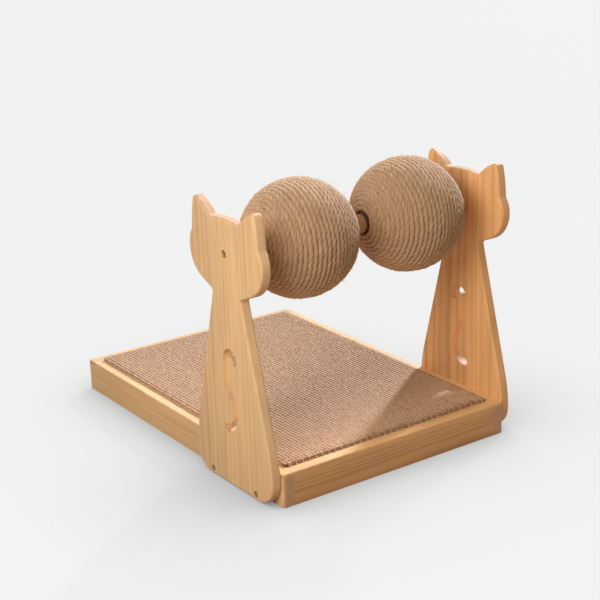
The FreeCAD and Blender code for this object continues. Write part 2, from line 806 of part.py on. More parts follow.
side_rail("left_rail", -1)
side_rail("right_rail", 1)
end_rail("front_rail", -1)
end_rail("back_rail", 1)
deck()
mat()
side_panel("left_side_panel", -1)
side_panel("right_side_panel", 1)
axle()
spacer("left_spacer", "-tray_width / 2", f"-({HUB_FAR} + side_play)")
spacer("centre_spacer", f"-({HUB_NEAR} - side_play)", f"({HUB_NEAR} - side_play)")
spacer("right_spacer", f"({HUB_FAR} + side_play)", "tray_width / 2")
ROPE_EDGES, ROPE_START, ROPE_END = rope_path()
ROPE_SHAPE = rope_solid(ROPE_EDGES)
print(f"rope: least gap to itself {rope_self_gap(ROPE_EDGES):.2f} mm")
ball("left_ball", -1)
ball("right_ball", 1)
foot_screws("left_foot_screws", -1)
foot_screws("right_foot_screws", 1)
axle_screw("left_axle_screw", -1)
axle_screw("right_axle_screw", 1)
doc.recompute()

NODES = [
    "left_rail",
    "right_rail",
    "front_rail",
    "back_rail",
    "deck_board",
    "scratch_mat",
    "left_side_panel",
    "right_side_panel",
    "axle_dowel",
    "left_spacer",
    "centre_spacer",
    "right_spacer",
    "left_ball_outer_half",
    "left_ball_inner_half",
    "left_ball_rope",
    "right_ball_outer_half",
    "right_ball_inner_half",
    "right_ball_rope",
    "left_foot_screws",
    "right_foot_screws",
    "left_axle_screw",
    "right_axle_screw",
]

for thing in doc.Objects:
    if {"Invalid", "Error"} & set(thing.State):
        raise RuntimeError(f"{thing.Label} failed: {thing.State}")
for node in NODES:
    shape = doc.getObjectsByLabel(node)[0].Shape
    if shape.isNull() or not shape.isValid():
        raise RuntimeError(f"{node} has no valid shape")

os.makedirs("parts", exist_ok=True)
for node in NODES:
    doc.getObjectsByLabel(node)[0].Shape.exportStep(f"parts/{node}.step")
print(f"{len(NODES)} pieces written")
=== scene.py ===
# %% [markdown]
# # A scratching board with two rope balls
#
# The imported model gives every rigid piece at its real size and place: the tray, the cat-shaped
# side panels, the axle and the ball cores. This lesson gives those pieces their wood and plastic,
# and makes what a solid can't show: the twisted rope on the balls, the woven mat, the screws'
# recesses and the loose fibres. Lengths are in metres unless a name or a comment says millimetres.

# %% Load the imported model
import math

import bmesh
import bpy
from mathutils import Matrix, Vector


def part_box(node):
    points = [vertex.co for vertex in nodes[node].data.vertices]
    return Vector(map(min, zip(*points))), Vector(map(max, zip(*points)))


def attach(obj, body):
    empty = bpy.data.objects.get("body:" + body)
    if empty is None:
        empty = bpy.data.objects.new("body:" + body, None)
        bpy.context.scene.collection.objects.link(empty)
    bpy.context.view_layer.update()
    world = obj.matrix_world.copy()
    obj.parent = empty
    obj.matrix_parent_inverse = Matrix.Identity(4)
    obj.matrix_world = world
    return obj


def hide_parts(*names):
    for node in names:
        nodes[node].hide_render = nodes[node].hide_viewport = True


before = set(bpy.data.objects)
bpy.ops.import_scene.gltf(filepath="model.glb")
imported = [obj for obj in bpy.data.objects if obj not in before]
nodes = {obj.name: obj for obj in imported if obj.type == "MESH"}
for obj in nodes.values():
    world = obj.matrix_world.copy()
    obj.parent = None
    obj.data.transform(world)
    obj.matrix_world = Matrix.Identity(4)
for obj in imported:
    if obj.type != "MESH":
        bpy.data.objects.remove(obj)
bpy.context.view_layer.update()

scene = bpy.context.scene

# %% [markdown]
# ## Camera
#
# The camera stands where the photograph was taken from: to the left of the ball end and a little
# above it. Its place, turn and lens come from fitting the tray's corners and the balls' outlines,
# so that the render can be laid over the photograph.

# %% Camera
SENSOR_MM, LENS_MM = 36, 83.797
camera = bpy.data.objects.new("camera", bpy.data.cameras.new("camera"))
camera.data.sensor_width = SENSOR_MM
camera.data.lens = LENS_MM
camera.location = (-0.85854, -1.26301, 0.64894)
camera.rotation_euler = [math.radians(angle) for angle in (71.393, 1.638, -35.497)]
scene.collection.objects.link(camera)
scene.camera = camera
print(f"camera {camera.location.length:.2f} m from the origin, {LENS_MM} mm lens")

# %% [markdown]
# ## Helpers for everything that follows
#
# Colours are written as sRGB hex values, as a colour picker shows them, and turned to the linear
# values that Blender works in. Every material and every node tree is built with one function that
# adds a node, sets it up and links it.


# %% Helpers
def linear(hex_colour):
    """The linear RGBA of an sRGB hex colour."""
    channels = [int(hex_colour[i : i + 2], 16) / 255 for i in (1, 3, 5)]
    return [c / 12.92 if c <= 0.04045 else ((c + 0.055) / 1.055) ** 2.4 for c in channels] + [1]


def join(tree, node, inputs):
    """Set a node's sockets to values, or link them to other nodes or to one of their sockets."""
    for socket, given in inputs.items():
        if isinstance(given, bpy.types.Node):
            given = given.outputs[0]
        if isinstance(given, bpy.types.NodeSocket):
            tree.links.new(given, node.inputs[socket])
        else:
            node.inputs[socket].default_value = given


def add(tree, kind, inputs=None, stops=(), **settings):
    """Add a node: settings are its options, stops a ramp's (position, colour) pairs."""
    node = tree.nodes.new(kind)
    for option, chosen in settings.items():
        setattr(node, option, chosen)
    join(tree, node, inputs or {})
    ramp = node.color_ramp.elements if stops else []
    while len(ramp) < len(stops):
        ramp.new(1)
    for element, (position, hex_colour) in zip(ramp, stops):
        element.position = position
        element.color = linear(hex_colour)
    return node


def new_material(name):
    """An empty material with its shader and output joined."""
    material = bpy.data.materials.new(name)
    material.use_nodes = True
    tree = material.node_tree
    tree.nodes.clear()
    shader = add(tree, "ShaderNodeBsdfPrincipled")
    add(tree, "ShaderNodeOutputMaterial", {"Surface": shader})
    return material, tree, shader


print("helpers ready, mid grey is", round(linear("#808080")[0], 3))

# %% [markdown]
# ## Light
#
# The photograph is a bright studio picture. Its main light is far off on the right, behind the
# tray: it lights the tops of the rails and balls, and throws the right panel's shadow across the
# front of the mat. A sun lamp gives such even, parallel light. A soft box on the left reaches the
# left panel's outer face, and a weaker one hangs overhead. Both are area lamps, because the light
# of a near box falls off along the object, as it does in a studio.


# %% Lamps
def lamp(name, kind, place, aim, power, tint):
    """A lamp at a place, turned to shine at a point."""
    light = bpy.data.objects.new(name, bpy.data.lights.new(name, kind))
    light.data.energy = power
    light.data.color = linear(tint)[:3]
    light.location = place
    light.rotation_euler = (Vector(place) - Vector(aim)).to_track_quat("Z", "Y").to_euler()
    scene.collection.objects.link(light)
    return light.data


main_light = lamp("main_light", "SUN", (1.45, 0.69, 1.0), (0, 0, 0), 4.7, "#E8EFFF")
main_light.angle = math.radians(5)  # a small disc gives fairly sharp shadows
left_light = lamp("left_light", "AREA", (-1.05, -0.58, 0.84), (-0.16, -0.14, 0.2), 10.6, "#FFF6EA")
left_light.size = 0.7
top_light = lamp("top_light", "AREA", (-0.1, -0.3, 1.3), (0, -0.1, 0), 3.2, "#FFF0E0")
top_light.size = 1.0

# %% [markdown]
# ## Backdrop and floor
#
# The object stands on a pale sweep of paper. Paper as bright as that all round would also fill
# every shadow on the object. So the world and the floor ask Light Path what kind of ray has
# arrived: the camera and reflections see the pale backdrop, and light that only bounces meets a
# dim, warm room and a browner floor. The floor keeps the object's shadow, and close to the object
# its pale tone has a painted shade, darker where the object hides more of the room's light.


# %% World
def seen_directly(tree):
    """1 where the camera, a reflection or a clear surface looks, 0 where light only bounces."""
    ray = add(tree, "ShaderNodeLightPath").outputs
    share = ray["Is Camera Ray"]
    for kind in ("Is Glossy Ray", "Is Transmission Ray"):
        share = add(tree, "ShaderNodeMath", {0: share, 1: ray[kind]}, operation="MAXIMUM")
    return share


scene.world = bpy.data.worlds.new("studio")
scene.world.use_nodes = True
sky = scene.world.node_tree
sky.nodes.clear()
room = add(sky, "ShaderNodeBackground", {"Color": linear("#FFDDBC"), "Strength": 0.12})
backdrop = add(sky, "ShaderNodeBackground", {"Color": linear("#F1F2F2"), "Strength": 1})
either = add(sky, "ShaderNodeMixShader", {0: seen_directly(sky), 1: room, 2: backdrop})
add(sky, "ShaderNodeOutputWorld", {"Surface": either})
scene.view_settings.view_transform = "Standard"
print("world:", scene.world.name)

# %% Floor
FLOOR_SIZE = 30
PALE_SHARE = 0.85  # the rest of what the camera sees is the lit paper with its shadows
# painted shade: the pale tone the camera sees darkens near the object, by ambient occlusion
PAINTED_SHADE_REACH = 0.22  # the paper darkens within this distance of the object
PAINTED_SHADE_DEEPEST = 0.2


def studio_paper():
    """Matt paper: a warm tone for light that bounces, mostly its own pale tone for the camera."""
    material, tree, shader = new_material("paper, matt white")
    join(tree, shader, {"Base Color": linear("#9C8064"), "Roughness": 0.9})
    seen = seen_directly(tree)
    share = add(tree, "ShaderNodeMath", {0: seen, 1: PALE_SHARE}, operation="MULTIPLY")
    # painted shade near the object: ambient occlusion scales the pale tone down
    around = add(tree, "ShaderNodeAmbientOcclusion", {"Distance": PAINTED_SHADE_REACH}, samples=4).outputs["AO"]
    # the sockets 1 to 4 of Map Range are from low, from high, to low and to high
    level = add(tree, "ShaderNodeMapRange", {0: around, 3: PAINTED_SHADE_DEEPEST, 4: 1})
    pale = add(tree, "ShaderNodeEmission", {"Color": linear("#FBFEFF"), "Strength": level})
    mixed = add(tree, "ShaderNodeMixShader", {0: share, 1: shader, 2: pale})
    join(tree, tree.nodes["Material Output"], {"Surface": mixed})
    return material


bpy.ops.mesh.primitive_plane_add(size=FLOOR_SIZE)
floor = bpy.context.object
floor.name = "floor"
floor.data.materials.append(studio_paper())
print("floor", floor.dimensions[:2])

# %% [markdown]
# ## Pine
#
# The tray and the panels are clear pine under a thin matt varnish. What the eye reads as pine is
# the growth rings: pale early wood that darkens to a thin line of late wood, then starts again. A
# tree trunk is a stack of rings round its heart, so the material works out each point's distance
# from a heart line that lies behind the board. Faces then show long stripes and ends show arcs, as
# on real wood. Boards this wide are glued up from strips, so each strip gets a heart and a tone of
# its own.


# %% Grain of a board
def board_place(tree, axes):
    """The place in mm, its parts along, across and through the board, and how it faces each way."""
    where = add(tree, "ShaderNodeTexCoord").outputs
    to_mm = {0: where["Object"], "Scale": 1000}
    in_mm = add(tree, "ShaderNodeVectorMath", to_mm, operation="SCALE")
    facing = add(tree, "ShaderNodeVectorMath", {0: where["Normal"]}, operation="ABSOLUTE")
    ordered = []
    for vector in (in_mm, facing):
        parts = add(tree, "ShaderNodeSeparateXYZ", {0: vector}).outputs
        ordered.append([parts["XYZ".index(axis)] for axis in axes])
    return in_mm, *ordered


# lengths along and across the grain in mm, and detail; real fibres are finer than 0.8 mm, which is
# about as fine as shows
GRAIN = {"wave": (300, 50, 2), "cloud": (120, 18, 2), "fibre": (30, 0.8, 3)}


def grain_noise(tree, in_mm, axes):
    """Noises drawn out along the grain: slow waves, clouds of tone and fine fibres."""
    noises = []
    for along_mm, across_mm, detail in GRAIN.values():
        scale = [1 / along_mm if axis == axes[0] else 1 / across_mm for axis in "XYZ"]
        at = add(tree, "ShaderNodeMapping", {"Vector": in_mm, "Scale": scale})
        noises.append(add(tree, "ShaderNodeTexNoise", {"Vector": at, "Scale": 1, "Detail": detail}))
    return noises


print("grain in mm:", GRAIN)


# %% Strips and rings
FIRST_STRIP = 0.37  # where the first glue line falls, in strips


def strip_chances(tree, across, strip_mm, seed):
    """Three random numbers for each glued strip."""
    at = {0: across, 1: 1 / strip_mm, 2: FIRST_STRIP + seed}
    strip = add(tree, "ShaderNodeMath", at, operation="MULTIPLY_ADD")
    number = add(tree, "ShaderNodeMath", {0: strip}, operation="FLOOR")
    luck = add(tree, "ShaderNodeTexWhiteNoise", {"W": number}, noise_dimensions="1D")
    return add(tree, "ShaderNodeSeparateColor", {0: luck.outputs["Color"]}).outputs


HEART_WIDTH_MM, HEART_SHIFT_MM = 150, 40  # across: heart lines lie in this width, moved by the seed
HEART_NEAR_MM, HEART_DEPTH_MM = 30, 40  # through: from this far off the object's middle, this deep
UNEVEN = 3.6  # how far good and bad years move a ring at most, in rings


def ring_number(tree, place, chances, wave, ring_mm, bend_mm, seed):
    """How many rings lie between a point and its strip's heart line, some wide and some narrow."""
    hearts = (
        {0: chances[0], 1: HEART_WIDTH_MM, 2: -HEART_WIDTH_MM / 2 - HEART_SHIFT_MM * seed},
        {0: chances[1], 1: HEART_DEPTH_MM, 2: HEART_NEAR_MM},
    )
    away = []
    for part, heart in zip(place[1:], hearts):
        shift = add(tree, "ShaderNodeMath", heart, operation="MULTIPLY_ADD")
        away.append(add(tree, "ShaderNodeMath", {0: part, 1: shift}))
    from_heart = add(tree, "ShaderNodeCombineXYZ", dict(enumerate(away)))
    radius = add(tree, "ShaderNodeVectorMath", {0: from_heart}, operation="LENGTH").outputs["Value"]
    # the heart line isn't straight: slow waves along the grain bend the rings
    bent = add(tree, "ShaderNodeMath", {0: wave, 1: bend_mm, 2: radius}, operation="MULTIPLY_ADD")
    rings = add(tree, "ShaderNodeMath", {0: bent, 1: 1 / ring_mm}, operation="MULTIPLY")
    years = {"W": rings, "Scale": 0.31, "Detail": 1}
    uneven = add(tree, "ShaderNodeTexNoise", years, noise_dimensions="1D")
    return add(tree, "ShaderNodeMath", {0: uneven, 1: UNEVEN, 2: rings}, operation="MULTIPLY_ADD")


SEASON = [(0, "#7A7A7A"), (0.25, "#202020"), (0.55, "#5A5A5A"), (0.8, "#FFFFFF"), (1, "#7A7A7A")]


def late_wood(tree, rings, facing):
    """The share of late wood: it grows slowly and ends soon, and in some rings it is faint."""
    season = add(tree, "ShaderNodeMath", {0: rings}, operation="FRACT")
    share = add(tree, "ShaderNodeValToRGB", {0: season}, SEASON)
    faint = add(tree, "ShaderNodeTexNoise", {"W": rings, "Scale": 0.45}, noise_dimensions="1D")
    # a sawn edge shows less of the rings than a face
    face_on = add(tree, "ShaderNodeMapRange", {0: facing, 1: 0.3, 2: 0.9, 3: 0.35, 4: 1.1})
    strength = add(tree, "ShaderNodeMath", {0: faint, 1: face_on}, operation="MULTIPLY")
    return add(tree, "ShaderNodeMath", {0: share, 1: strength}, operation="MULTIPLY")


print(f"heart lines {HEART_NEAR_MM} to {HEART_NEAR_MM + HEART_DEPTH_MM} mm off the object's middle")

# %% Wood
# partly painted shade: the pink of sawn edges in shade, on end grain that is really darker
END_GRAIN_AND_SHADE = "#CCA284"


def ringed_wood(name, axes, strip_mm, ring_mm, seed, bend_mm, early, late):
    """Varnished wood; axes such as ZYX say which way is along, across and through the board."""
    material, tree, shader = new_material(name)
    in_mm, place, facing = board_place(tree, axes)
    wave, cloud, fibre = grain_noise(tree, in_mm, axes)
    chances = strip_chances(tree, place[1], strip_mm, seed)
    rings = ring_number(tree, place, chances, wave, ring_mm, bend_mm, seed)
    dark = late_wood(tree, rings, facing[2])
    tones = {0: dark, 6: linear(early), 7: linear(late)}
    colour = add(tree, "ShaderNodeMix", tones, data_type="RGBA").outputs[2]

    # fibres, clouds and strips are each a little lighter or darker
    for level in (
        {0: fibre, 1: 0.3, 2: 0.7, 3: 0.94, 4: 1.05},
        {0: cloud, 1: 0.3, 2: 0.7, 3: 0.9, 4: 1.08},
        {0: chances[2], 3: 0.92, 4: 1.04},
    ):
        tone = add(tree, "ShaderNodeMapRange", level)
        scaled = {0: colour, "Scale": tone}
        colour = add(tree, "ShaderNodeVectorMath", scaled, operation="SCALE").outputs[0]

    # end grain drinks the varnish, darker than the faces; the pinker tone is painted shade
    end_on = add(tree, "ShaderNodeMapRange", {0: facing[0], 1: 0.35, 2: 0.95, 3: 0, 4: 0.75})
    ends = {0: end_on, 6: colour, 7: linear(END_GRAIN_AND_SHADE)}
    colour = add(tree, "ShaderNodeMix", ends, data_type="RGBA").outputs[2]
    rough = add(tree, "ShaderNodeMapRange", {0: fibre, 1: 0.3, 2: 0.7, 3: 0.5, 4: 0.62})
    height = add(tree, "ShaderNodeMath", {0: dark, 1: 0.4, 2: fibre}, operation="MULTIPLY_ADD")
    bump = add(tree, "ShaderNodeBump", {"Strength": 0.2, "Distance": 0.0002, "Height": height})
    join(tree, shader, {"Base Color": colour, "Roughness": rough, "Normal": bump, "IOR": 1.5})
    return material


def dress(piece, material):
    """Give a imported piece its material."""
    slots = nodes[piece].data.materials
    slots.clear()
    slots.append(material)


# early and late wood
PLAIN = ("#EBC492", "#D2924F")
# painted light: the left panel's pine, paler as where the soft box lights it
PINE_PAINTED_LIT = ("#F4D3A4", "#E0A866")
# painted shade: the right panel's pine, warmer and more orange as in warm shade
PINE_PAINTED_SHADE = ("#F6C48A", "#D48E4C")
# painted light: the side rails' pine, a little paler as where the soft box lights them
RAIL_PINE_PAINTED_LIT = ("#F0CC9A", "#D49450")
# grain and painted shade: the front rail's late wood is darker and more orange, as in shade
FRONT_PINE_GRAIN_AND_SHADE = ("#EEC088", "#BA7438")
BEECH = ("#CFA073", "#B98457")
# name, grain axes, width of strips and rings in mm, seed, bend in mm, colours
WOOD = {
    "left_side_panel": ("pine panel, sawn and varnished, left", "ZYX", 52, 10, 0.0, 16, *PINE_PAINTED_LIT),
    "right_side_panel": ("pine panel, sawn and varnished, right", "ZYX", 52, 9, 0.5, 16, *PINE_PAINTED_SHADE),
    "left_rail": ("pine rail, planed and varnished, left", "YZX", 30, 4, 0.18, 6, *RAIL_PINE_PAINTED_LIT),
    "right_rail": ("pine rail, planed and varnished, right", "YZX", 30, 4, 1.18, 6, *RAIL_PINE_PAINTED_LIT),
    "front_rail": ("pine rail, planed and varnished, front", "XZY", 90, 4.2, 1.3, 9, *FRONT_PINE_GRAIN_AND_SHADE),
    "back_rail": ("pine rail, planed and varnished, back", "XZY", 90, 3.2, 0.4, 6, *PLAIN),
    "deck_board": ("pine plywood, peeled and sanded", "YXZ", 400, 7, 0.6, 16, *PLAIN),
    "axle_dowel": ("beech dowel, turned", "XYZ", 60, 2.2, 0.7, 16, *BEECH),
    "left_spacer": ("beech sleeve, turned, left", "XYZ", 60, 2.2, 0.8, 16, *BEECH),
    "centre_spacer": ("beech sleeve, turned, centre", "XYZ", 60, 2.2, 0.9, 16, *BEECH),
    "right_spacer": ("beech sleeve, turned, right", "XYZ", 60, 2.2, 1.0, 16, *BEECH),
}
for piece, finish in WOOD.items():
    dress(piece, ringed_wood(*finish))
print(f"wood on {len(WOOD)} pieces")

# %% [markdown]
# ## Ball cores
#
# Under the rope each ball is a hollow shell moulded in two halves. Only its hub and the ring round
# the axle show, deep in the shade of the rope's opening, so a dark moulded plastic with a fine
# spark-eroded grain is all they need.


# %% Core plastic
def moulded_core():
    """Brown ABS with a fine moulded grain: a soft, broken sheen and no clear reflections."""
    material, tree, shader = new_material("ABS, moulded with fine grain")
    where = add(tree, "ShaderNodeTexCoord").outputs["Object"]
    # the grain is about 0.8 mm across, coarser than a real one of 0.2 mm, so that it shows
    grain = add(tree, "ShaderNodeTexNoise", {"Vector": where, "Scale": 1 / 0.0008, "Detail": 2})
    tone = add(tree, "ShaderNodeValToRGB", {0: grain}, [(0.3, "#6A4A32"), (0.7, "#7E5C40")])
    rough = add(tree, "ShaderNodeMapRange", {0: grain, 1: 0.3, 2: 0.7, 3: 0.45, 4: 0.6})
    bump = add(tree, "ShaderNodeBump", {"Strength": 0.3, "Distance": 0.0001, "Height": grain})
    join(tree, shader, {"Base Color": tone, "Roughness": rough, "Normal": bump, "IOR": 1.53})
    return material


core_plastic = moulded_core()
for ball in ("left", "right"):
    for half in ("outer", "inner"):
        dress(f"{ball}_ball_{half}_half", core_plastic)
print("cores:", core_plastic.name)

# %% [markdown]
# ## Node trees as makers
#
# The rope, the mat's weave, the loose fibres and the screws all repeat one shape along a path or
# over a surface, and Geometry Nodes are made for that. Each tree below has its sizes as named
# inputs. The helper runs a tree on an object and keeps the result as a plain mesh, so that nothing
# live is left.


# %% Run a node tree
def new_maker(name, sizes):
    """A geometry tree with named inputs, each of a kind such as Float, and their sockets."""
    tree = bpy.data.node_groups.new(name, "GeometryNodeTree")
    tree.interface.new_socket("Geometry", in_out="INPUT", socket_type="NodeSocketGeometry")
    for size, kind in sizes.items():
        tree.interface.new_socket(size, in_out="INPUT", socket_type=f"NodeSocket{kind}")
    tree.interface.new_socket("Geometry", in_out="OUTPUT", socket_type="NodeSocketGeometry")
    return tree, add(tree, "NodeGroupInput").outputs


def close_maker(tree, shape, material):
    """End a tree: instances made real, smooth, with the material."""
    real = add(tree, "GeometryNodeRealizeInstances", {0: shape})
    smooth = add(tree, "GeometryNodeSetShadeSmooth", {0: real})
    dressed = add(tree, "GeometryNodeSetMaterial", {0: smooth, "Material": material})
    add(tree, "NodeGroupOutput", {0: dressed})
    print(f"{tree.name}: a tree of {len(tree.nodes)} nodes")
    return tree


def run_maker(tree, source, name, sizes):
    """Run a tree on a mesh or curve with these sizes; keep the result as a mesh at the origin."""
    holder = bpy.data.objects.new(name + "_source", source)
    scene.collection.objects.link(holder)
    modifier = holder.modifiers.new(tree.name, "NODES")
    modifier.node_group = tree
    for item in tree.interface.items_tree:
        if item.in_out == "INPUT" and item.name in sizes:
            modifier[item.identifier] = sizes[item.name]
    ready = holder.evaluated_get(bpy.context.evaluated_depsgraph_get())
    mesh = bpy.data.meshes.new_from_object(ready)
    bpy.data.objects.remove(holder)
    mesh.name = name
    piece = bpy.data.objects.new(name, mesh)
    scene.collection.objects.link(piece)
    mesh.calc_loop_triangles()
    print(f"{name}: {len(mesh.loop_triangles)} triangles")
    return piece


print("makers ready in", bpy.app.version_string)

# %% [markdown]
# ## Sisal rope
#
# Each ball is wound with one length of three-strand sisal rope, 5.8 mm thick over its lobes, in 33
# turns from pole to pole that press into each other. Its two ends dive through a hole into the
# core. The path is a spiral on a sphere worked out turn by turn. A tree then sweeps a three-lobed
# section along it and lets the section turn once for every 23 mm, which makes the strands. The
# swept mesh remembers where each point lies round and along the rope, so that the material's
# fibres can follow the strands.


# %% Rope material
def sisal_rope():
    """Dry plant fibre: matt, straw coloured, fine streaks along strands, painted shade in dips."""
    material, tree, shader = new_material("sisal, laid rope")
    round_rope = add(tree, "ShaderNodeAttribute", attribute_name="round_rope").outputs["Vector"]
    lobe = add(tree, "ShaderNodeAttribute", attribute_name="lobe").outputs["Fac"]
    # the attribute is in millimetres: streaks are 0.35 mm wide and 9 mm long, and longer lengths of
    # the rope, about 60 mm at a time, are paler or browner
    noises = []
    for scale, detail in (((2.8, 2.8, 0.11), 3), ((0.03, 0.03, 0.016), 2)):
        at = add(tree, "ShaderNodeMapping", {"Vector": round_rope, "Scale": scale})
        noises.append(add(tree, "ShaderNodeTexNoise", {"Vector": at, "Scale": 1, "Detail": detail}))
    streak, length_tone = noises
    stops = [(0.3, "#5E3A1C"), (0.4, "#9A6C40"), (0.52, "#C29264"), (0.72, "#E8C69C")]
    straw = add(tree, "ShaderNodeValToRGB", {0: streak}, stops)
    browner = add(tree, "ShaderNodeMapRange", {0: length_tone, 1: 0.3, 2: 0.7, 3: 0.84, 4: 1.12})
    # painted shade: the colour darkens where the section dips between the strands
    painted_valley_shade = add(tree, "ShaderNodeMapRange", {0: lobe, 1: -1, 2: 0.5, 3: 0.62, 4: 1})
    tone = add(tree, "ShaderNodeMath", {0: browner, 1: painted_valley_shade}, operation="MULTIPLY")
    toned = add(tree, "ShaderNodeVectorMath", {0: straw, "Scale": tone}, operation="SCALE")
    bump = add(tree, "ShaderNodeBump", {"Strength": 0.6, "Distance": 0.0003, "Height": streak})
    join(tree, shader, {"Base Color": toned, "Normal": bump, "Roughness": 0.85, "IOR": 1.5})
    # the fuzz on dry rope is pale against the light
    fuzz = {"Sheen Weight": 0.8, "Sheen Roughness": 0.85, "Sheen Tint": linear("#FFEAD2")}
    join(tree, shader, fuzz)
    return material


rope_material = sisal_rope()
print("rope:", rope_material.name)

# %% Rope path
ROPE = 0.0058
TURNS = 33
BALL_RADIUS = 0.063
POLE_RADIUS = 0.0128  # the first turn's radius round the axle
BEND = 0.0056  # the bend's radius where an end dives into the core
POINTS_A_TURN, POINTS_A_BEND = 48, 8


def spiral(turn):
    """Place and heading of the rope on its ball after some turns from the +X pole."""
    middle = BALL_RADIUS - ROPE / 2
    pole = math.asin(POLE_RADIUS / middle)
    rate = (math.pi - 2 * pole) / (2 * math.pi * TURNS)
    around = 2 * math.pi * turn
    polar = pole + rate * around
    ring = Vector((0, math.cos(around), math.sin(around)))
    forward = Vector((0, -math.sin(around), math.cos(around)))
    out = Vector((math.cos(polar), 0, 0)) + ring * math.sin(polar)
    along = Vector((-math.sin(polar), 0, 0)) + ring * math.cos(polar)
    return out * middle, (along * rate + forward * math.sin(polar)).normalized()


def dive(point, heading):
    """The bend from the ball's surface down into the core, then a straight end."""
    out = point.normalized()
    centre = point - out * BEND
    full = math.acos(-BEND / (point.length - BEND))
    angles = [full * step / POINTS_A_BEND for step in range(1, POINTS_A_BEND + 1)]
    bend = [centre + heading * BEND * math.sin(a) + out * BEND * math.cos(a) for a in angles]
    return bend + [bend[-1] - bend[-1].normalized() * BEND]


def rope_curve(name, centre):
    """The rope's middle line as a curve in the object's frame."""
    first, heading = spiral(0)
    last, last_heading = spiral(TURNS)
    turns = [spiral(step / POINTS_A_TURN)[0] for step in range(POINTS_A_TURN * TURNS + 1)]
    points = dive(first, -heading)[::-1] + turns + dive(last, last_heading)
    curve = bpy.data.curves.new(name, "CURVE")
    curve.dimensions = "3D"
    spline = curve.splines.new("POLY")
    spline.points.add(len(points) - 1)
    for slot, point in zip(spline.points, points):
        slot.co = (*(point + centre), 1)
    length = sum((b - a).length for a, b in zip(points, points[1:]))
    print(f"{name}: {TURNS} turns, {length:.2f} m of rope")
    return curve


AXLE_Y, AXLE_Z = -0.137, 0.254
BALL_X = {"left": -0.071, "right": 0.071}
paths = {
    ball: rope_curve(f"{ball}_rope_path", Vector((x, AXLE_Y, AXLE_Z))) for ball, x in BALL_X.items()
}


# %% Twist along the path
def wound_path(tree, given):
    """The path with the wander, twist and changing thickness of a rope that is wound by hand."""
    at = {"Curve": given["Geometry"], "Length": given["Step"]}
    path = add(tree, "GeometryNodeResampleCurve", at, mode="LENGTH")
    travelled = add(tree, "GeometryNodeSplineParameter").outputs["Length"]
    # the line never lies quite straight: it wanders to and fro about every 14 mm
    place = add(tree, "GeometryNodeInputPosition")
    waves = {"Vector": place, "W": given["Seed"], "Scale": 1 / 0.014, "Detail": 3, "Roughness": 0.6}
    wave = add(tree, "ShaderNodeTexNoise", waves, noise_dimensions="4D").outputs["Color"]
    about_zero = {0: wave, 1: (0.5, 0.5, 0.5)}
    either_way = add(tree, "ShaderNodeVectorMath", about_zero, operation="SUBTRACT")
    wander = {0: either_way, "Scale": given["Wander"]}
    offset = add(tree, "ShaderNodeVectorMath", wander, operation="SCALE")
    wandering = add(tree, "GeometryNodeSetPosition", {0: path, "Offset": offset})
    turns = add(tree, "ShaderNodeMath", {0: travelled, 1: given["Lay"]}, operation="DIVIDE")
    angle = add(tree, "ShaderNodeMath", {0: turns, 1: 2 * math.pi}, operation="MULTIPLY")
    twisted = add(tree, "GeometryNodeSetCurveTilt", {0: wandering, "Tilt": angle})
    # spun by the yard, the rope is thicker and thinner by turns, about every 12 mm
    lumps = {"W": travelled, "Scale": 1 / 0.012, "Detail": 2}
    lump = add(tree, "ShaderNodeTexNoise", lumps, noise_dimensions="1D")
    thick = add(tree, "ShaderNodeMapRange", {0: lump, 1: 0.25, 2: 0.75, 3: 0.9, 4: 1.08})
    lumpy = add(tree, "GeometryNodeSetCurveRadius", {0: twisted, "Radius": thick})
    in_mm = add(tree, "ShaderNodeMath", {0: travelled, 1: 1000}, operation="MULTIPLY")
    marked = {0: lumpy, "Name": "travelled", "Value": in_mm}
    return add(tree, "GeometryNodeStoreNamedAttribute", marked, data_type="FLOAT", domain="POINT")


SECTION_POINTS = 12  # four to each of the three lobes
LOBE_DEPTH = 0.085  # the swell and the dip, as a share of the radius


def lobed_section(tree, given):
    """A circle whose radius swells three times round; each point keeps its swell and its place."""
    radius = add(tree, "ShaderNodeMath", {0: given["Diameter"], 1: 0.5}, operation="MULTIPLY")
    size = {"Resolution": SECTION_POINTS, "Radius": radius}
    shape = add(tree, "GeometryNodeCurvePrimitiveCircle", size)
    number = add(tree, "GeometryNodeInputIndex")
    angle = {0: number, 1: 3 * 2 * math.pi / SECTION_POINTS}
    angle = add(tree, "ShaderNodeMath", angle, operation="MULTIPLY")
    swell = add(tree, "ShaderNodeMath", {0: angle}, operation="COSINE")
    share = {0: swell, 1: LOBE_DEPTH, 2: 1 - LOBE_DEPTH}
    share = add(tree, "ShaderNodeMath", share, operation="MULTIPLY_ADD")
    spot = add(tree, "GeometryNodeInputPosition")
    lobed = add(tree, "ShaderNodeVectorMath", {0: spot, "Scale": share}, operation="SCALE")
    in_mm = add(tree, "ShaderNodeVectorMath", {0: spot, "Scale": 1000}, operation="SCALE")
    shape = add(tree, "GeometryNodeSetPosition", {0: shape, "Position": lobed})
    for name, kind, value in (("lobe", "FLOAT", swell), ("section", "FLOAT_VECTOR", in_mm)):
        marked = {0: shape, "Name": name, "Value": value}
        shape = add(tree, "GeometryNodeStoreNamedAttribute", marked, data_type=kind, domain="POINT")
    return shape


print(f"section of {SECTION_POINTS} points, lobes of {1000 * LOBE_DEPTH * ROPE:.2f} mm")


